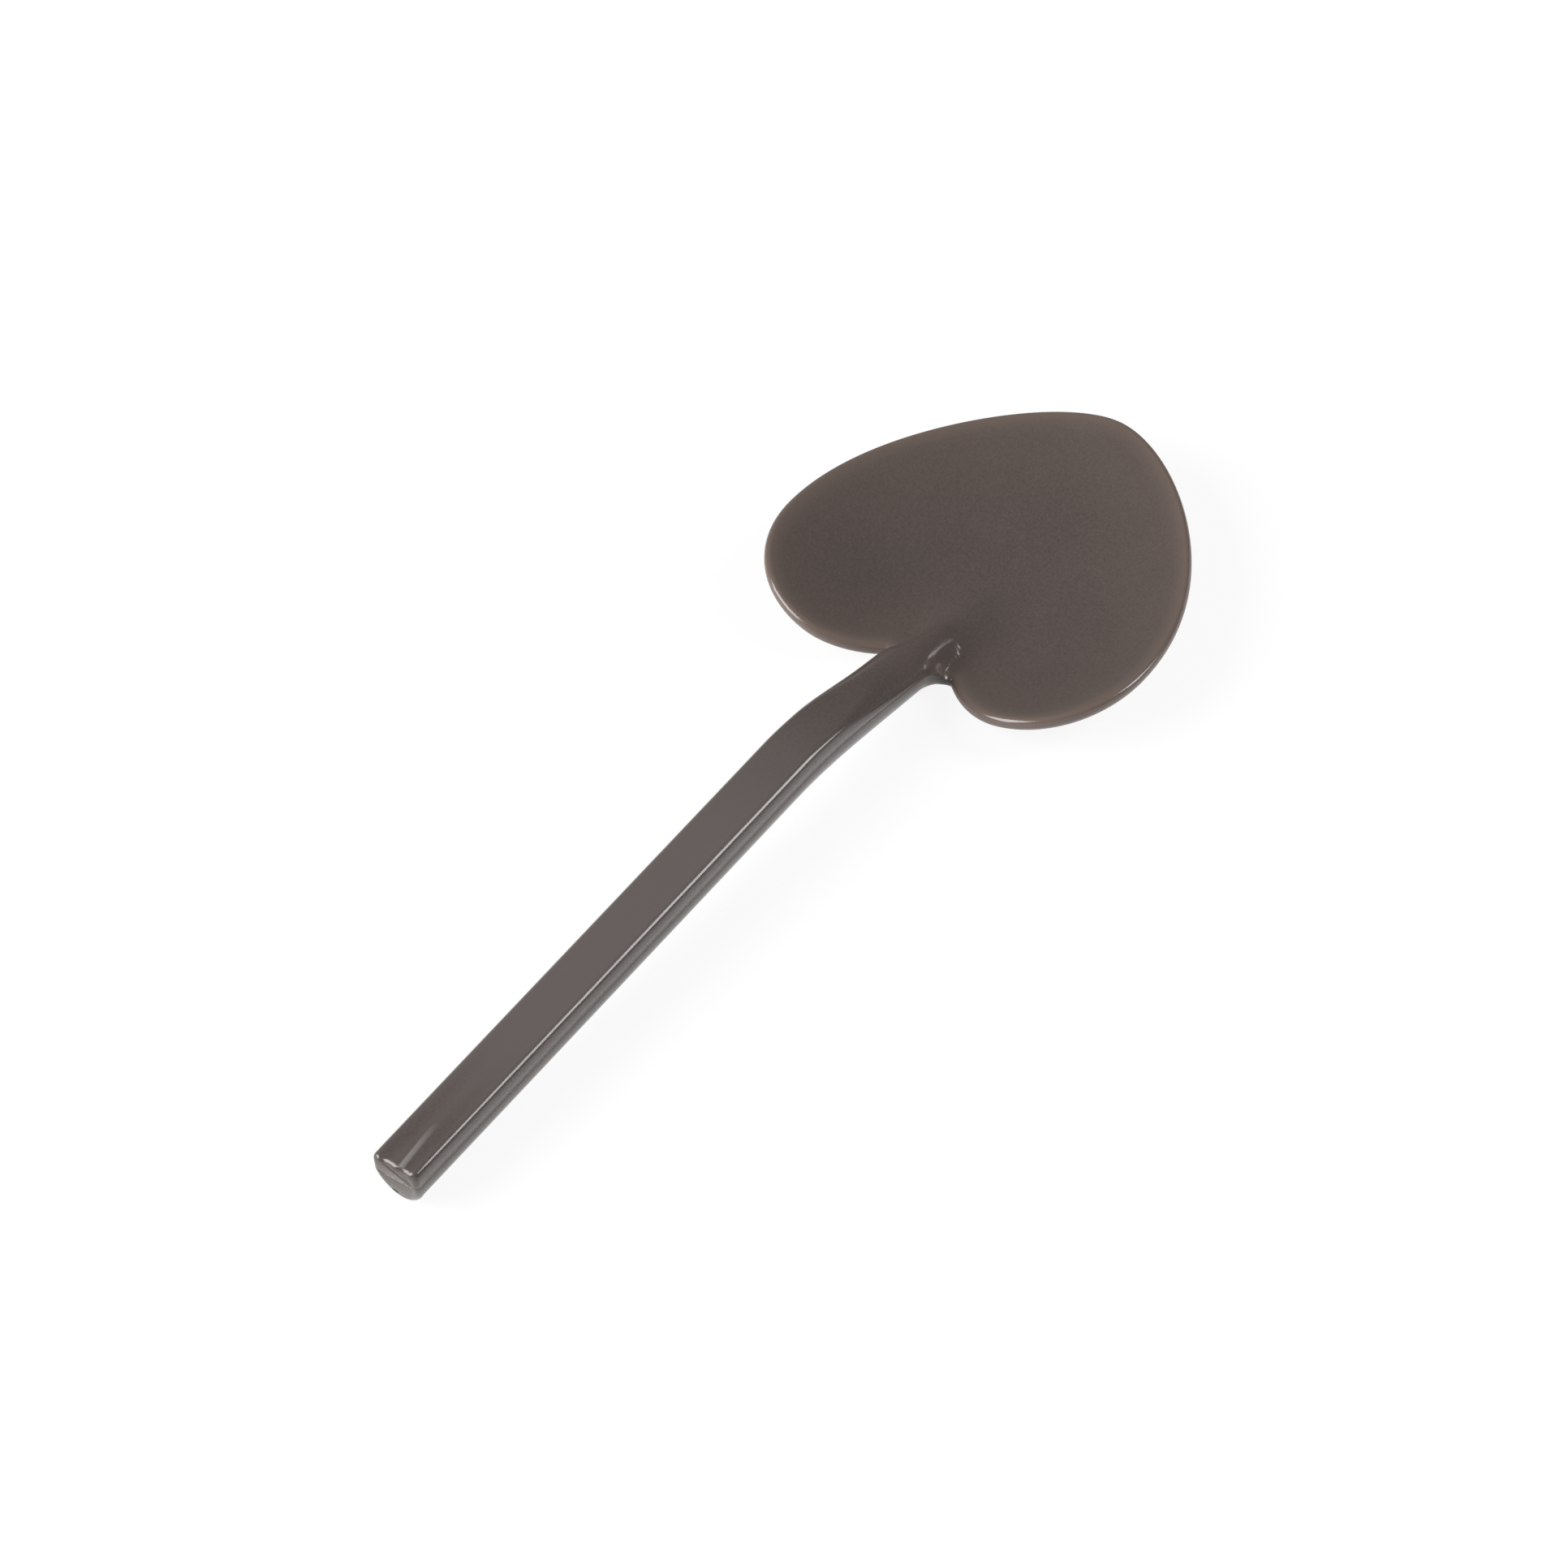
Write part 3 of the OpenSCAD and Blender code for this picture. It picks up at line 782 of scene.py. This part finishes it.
card = bpy.data.materials.new("card_matt_white")
card.use_nodes = True
tree = card.node_tree
tree.nodes.clear()
ray = node(tree, "ShaderNodeLightPath").outputs
lit = node(tree, "ShaderNodeBsdfDiffuse", {"Color": linear(WHITE)})
shade = node(tree, "ShaderNodeBsdfDiffuse", {"Color": [CAMERA_CARD] * 3 + [1]})
white = node(tree, "ShaderNodeEmission", {"Color": linear(WHITE), "Strength": CAMERA_WHITE})
shown = node(tree, "ShaderNodeAddShader", {0: shade.outputs[0], 1: white.outputs[0]})
mirror_shade = node(tree, "ShaderNodeBsdfDiffuse", {"Color": [MIRROR_CARD] * 3 + [1]})
mirror_white = node(tree, "ShaderNodeEmission", {"Color": linear(WHITE),
                                                 "Strength": MIRROR_WHITE})
mirrored = node(tree, "ShaderNodeAddShader", {0: mirror_shade.outputs[0],
                                              1: mirror_white.outputs[0]})
gloss_sees = node(tree, "ShaderNodeMath", {0: ray["Is Glossy Ray"],
                                           1: ray["Is Transmission Ray"]}, operation="MAXIMUM")
unseen = node(tree, "ShaderNodeMixShader", {0: gloss_sees.outputs[0], 1: lit.outputs[0],
                                            2: mirrored.outputs[0]})
either = node(tree, "ShaderNodeMixShader", {0: ray["Is Camera Ray"], 1: unseen.outputs[0],
                                            2: shown.outputs[0]})
node(tree, "ShaderNodeOutputMaterial", {"Surface": either.outputs[0]})
floor_mesh.materials.append(card)
print(card.name, "has", len(tree.nodes), "nodes")

# %% [markdown]
# The world is white to the camera. To every other ray it is a dim fill, apart from a white
# horizon that only reflections see. It draws the pale edge along the spoon's sides, and the
# dim part above keeps a grey veil off the bowl.

# %% World
FILL = 0.1                # strength of the light from all round
HORIZON_WHITE = 0.02      # height of the direction up to which the horizon is white
HORIZON_END = 0.06        # and where it has faded to the fill

world = bpy.data.worlds.new("white_studio")
bpy.context.scene.world = world
world.use_nodes = True
tree = world.node_tree
tree.nodes.clear()
ray = node(tree, "ShaderNodeLightPath").outputs
direction = node(tree, "ShaderNodeTexCoord").outputs["Generated"]
height = node(tree, "ShaderNodeSeparateXYZ", {"Vector": direction}).outputs["Z"]
horizon = node(tree, "ShaderNodeMapRange",
               {"Value": height, "From Min": HORIZON_WHITE, "From Max": HORIZON_END,
                "To Min": 1.0, "To Max": FILL})
gloss_sees = node(tree, "ShaderNodeMath", {0: ray["Is Glossy Ray"],
                                           1: ray["Is Transmission Ray"]}, operation="MAXIMUM")
unseen = node(tree, "ShaderNodeMix", {"Factor": gloss_sees.outputs[0], "A": FILL,
                                      "B": horizon.outputs[0]})
strength = node(tree, "ShaderNodeMix", {"Factor": ray["Is Camera Ray"],
                                        "A": unseen.outputs[0], "B": 1.0})
sky = node(tree, "ShaderNodeBackground", {"Color": linear(WHITE),
                                          "Strength": strength.outputs[0]})
node(tree, "ShaderNodeOutputWorld", {"Surface": sky.outputs[0]})
print("the world is white to the camera, and its fill light is", FILL)

# %% [markdown]
# Three lamps light the spoon. The large softbox on the left draws the lines on the backs of
# the lobes and on the end of the handle. The one on the right draws the long line on the
# handle's upper edge. A low, narrow strip on the far side draws the fine line on the ridge.

# %% Softboxes
LAMP_AWAY = 0.9           # metres from the spoon


def toward(azimuth, elevation):
    """Unit vector to a place round the spoon. Azimuth 0 is at -Y, and 90 is at +X."""
    a, e = math.radians(azimuth), math.radians(elevation)
    return Vector((math.sin(a) * math.cos(e), -math.cos(a) * math.cos(e), math.sin(e)))


def softbox(name, azimuth, elevation, width, height, radiance):
    """Adds a lamp with an even face. Its power follows from its area and radiance."""
    light = bpy.data.lights.new(name, "AREA")
    light.shape = "RECTANGLE"
    light.size, light.size_y = width, height
    light.energy = radiance * math.pi * width * height
    lamp = bpy.data.objects.new(name, light)
    lamp.location = toward(azimuth, elevation) * LAMP_AWAY
    lamp.rotation_euler = toward(azimuth, elevation).to_track_quat("Z", "Y").to_euler()
    bpy.context.collection.objects.link(lamp)
    print(name, "gives", round(light.energy, 2), "W")


softbox("softbox_left", azimuth=-130, elevation=33, width=0.66, height=0.68, radiance=10.0)
softbox("softbox_right", azimuth=41, elevation=37, width=0.30, height=0.48, radiance=11.0)
softbox("strip_light", azimuth=74, elevation=12, width=0.20, height=0.025, radiance=11.0)

# %% [markdown]
# The camera stands where the photograph was taken from, found by matching the outline of the
# spoon: 46 degrees above the table, over a metre away, with a long lens.

# %% Camera
AZIMUTH, ELEVATION, DISTANCE = -54.6, 45.8, 1.1662
AIM = Vector((3.6, 0.69, 3.34)) * MM
FOCAL_PX, FRAME_PX = 14036.0, 1932       # focal length and frame, in pixels of the photograph
SENSOR = 36.0             # millimetres

view = bpy.data.cameras.new("camera")
view.sensor_width = SENSOR
view.lens = FOCAL_PX / FRAME_PX * SENSOR
camera = bpy.data.objects.new("camera", view)
camera.location = AIM + toward(AZIMUTH, ELEVATION) * DISTANCE
camera.rotation_euler = toward(AZIMUTH, ELEVATION).to_track_quat("Z", "Y").to_euler()
bpy.context.collection.objects.link(camera)
bpy.context.scene.camera = camera
bpy.context.scene.view_settings.view_transform = "Standard"
print("lens", round(view.lens, 1), "mm")
